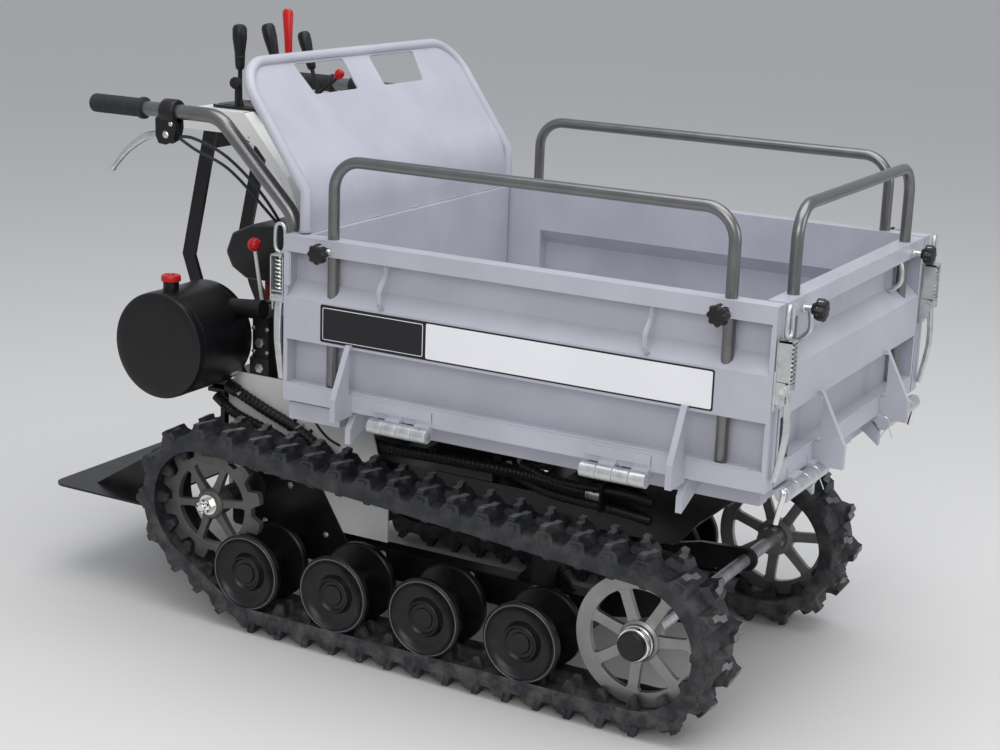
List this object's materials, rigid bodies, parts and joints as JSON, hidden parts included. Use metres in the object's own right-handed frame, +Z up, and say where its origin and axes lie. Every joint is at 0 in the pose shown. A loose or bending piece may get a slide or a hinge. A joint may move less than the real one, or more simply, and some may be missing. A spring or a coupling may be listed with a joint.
{
  "type": "tracked dumper",
  "caption": "Walk-behind tracked mini dumper with a hydraulic forward-tipping drop-side box, load rails, raised headboard, rubber tracks and a folding footboard",
  "frame": {"origin": "on the ground below the middle of the machine's overall length and width", "axes": "+X forward, the way the box tips and the footboard is behind; +Y to the left; +Z up"},
  "size_m": [1.5988, 0.8858, 1.1439],
  "materials": {
    "box_paint": "light grey semi-gloss paint",
    "black_paint": "black satin paint",
    "white_paint": "white gloss paint",
    "rubber": "dull black rubber",
    "zinc": "galvanised steel",
    "bright_steel": "bright plated steel",
    "tube_steel": "dark metallic grey tube",
    "raw_steel": "bare steel with a brown cast",
    "red_plastic": "red plastic",
    "black_plastic": "black plastic",
    "engine_metal": "dark cast metal"
  },
  "bodies": {
    "chassis": {"chassis_frame": "black_paint", "rear_tower": "black_paint", "roller_beam_right": "black_paint", "roller_beam_left": "black_paint", "track_right": "rubber", "track_left": "rubber", "front_idler_right": "raw_steel", "front_idler_left": "raw_steel", "drive_sprocket_right": "raw_steel", "drive_sprocket_left": "raw_steel", "front_axle": "bright_steel", "side_cover_right": "white_paint", "side_cover_left": "white_paint", "transmission": "engine_metal", "engine": "engine_metal", "fuel_tank": "black_plastic", "oil_tank": "black_paint", "oil_cap": "red_plastic", "tipping_valve": "black_paint", "handlebar_right": "tube_steel", "handlebar_left": "tube_steel", "grip_right": "rubber", "grip_left": "rubber", "brake_lever_right": "black_plastic", "brake_lever_left": "black_plastic", "uprights": "black_paint", "console": "white_paint", "control_levers": "black_plastic", "tipping_lever": "red_plastic", "hoses": "black_plastic"},
    "footboard": {"footboard": "black_paint"},
    "cylinder_barrel": {"cylinder_barrel": "black_paint"},
    "cylinder_rod": {"cylinder_rod": "bright_steel"},
    "bed": {"bed_frame": "box_paint", "headboard": "box_paint"},
    "side_right": {"side_right": "box_paint", "latch_front_right": "zinc", "latch_rear_right": "zinc"},
    "side_left": {"side_left": "box_paint", "latch_front_left": "zinc", "latch_rear_left": "zinc"},
    "gate": {"front_gate": "box_paint"},
    "rail_right": {"rail_right": "tube_steel"},
    "rail_left": {"rail_left": "tube_steel"},
    "rail_front": {"rail_front": "tube_steel"}
  },
  "joints": [
    {"name": "bed_tilt", "type": "hinge", "parent": "chassis", "child": "bed", "pos_m": [0.6191, 0, 0.4416], "axis": [0, 1, 0], "range_deg": [0, 50]},
    {"name": "side_right_drop", "type": "hinge", "parent": "bed", "child": "side_right", "pos_m": [0.28, -0.4024, 0.4776], "axis": [1, 0, 0], "range_deg": [0, 90]},
    {"name": "side_left_drop", "type": "hinge", "parent": "bed", "child": "side_left", "pos_m": [0.28, 0.4024, 0.4776], "axis": [-1, 0, 0], "range_deg": [0, 90]},
    {"name": "gate_drop", "type": "hinge", "parent": "bed", "child": "gate", "pos_m": [0.7589, 0, 0.4776], "axis": [0, 1, 0], "range_deg": [0, 90]},
    {"name": "rail_right_slide", "type": "slide", "parent": "side_right", "child": "rail_right", "axis": [0, 0, 1], "range_m": [0, 0.12]},
    {"name": "rail_left_slide", "type": "slide", "parent": "side_left", "child": "rail_left", "axis": [0, 0, 1], "range_m": [0, 0.12]},
    {"name": "rail_front_slide", "type": "slide", "parent": "gate", "child": "rail_front", "axis": [0, 0, 1], "range_m": [0, 0.12]},
    {"name": "footboard_fold", "type": "hinge", "parent": "chassis", "child": "footboard", "pos_m": [-0.5759, 0, 0.2716], "axis": [0, 1, 0], "range_deg": [0, 80]},
    {"name": "cylinder_swing", "type": "hinge", "parent": "chassis", "child": "cylinder_barrel", "pos_m": [-0.0609, 0, 0.2816], "axis": [0, -1, 0], "range_deg": [0, 16.42]},
    {"name": "rod_slide", "type": "slide", "parent": "cylinder_barrel", "child": "cylinder_rod", "axis": [0.9487, 0, 0.3162], "range_m": [0, 0.1636]}
  ],
  "couplings": [
    {"joint": "cylinder_swing", "follows": "bed_tilt", "ratio": 0.3282},
    {"joint": "rod_slide", "follows": "bed_tilt", "m_per_rad": 0.18736}
  ]
}
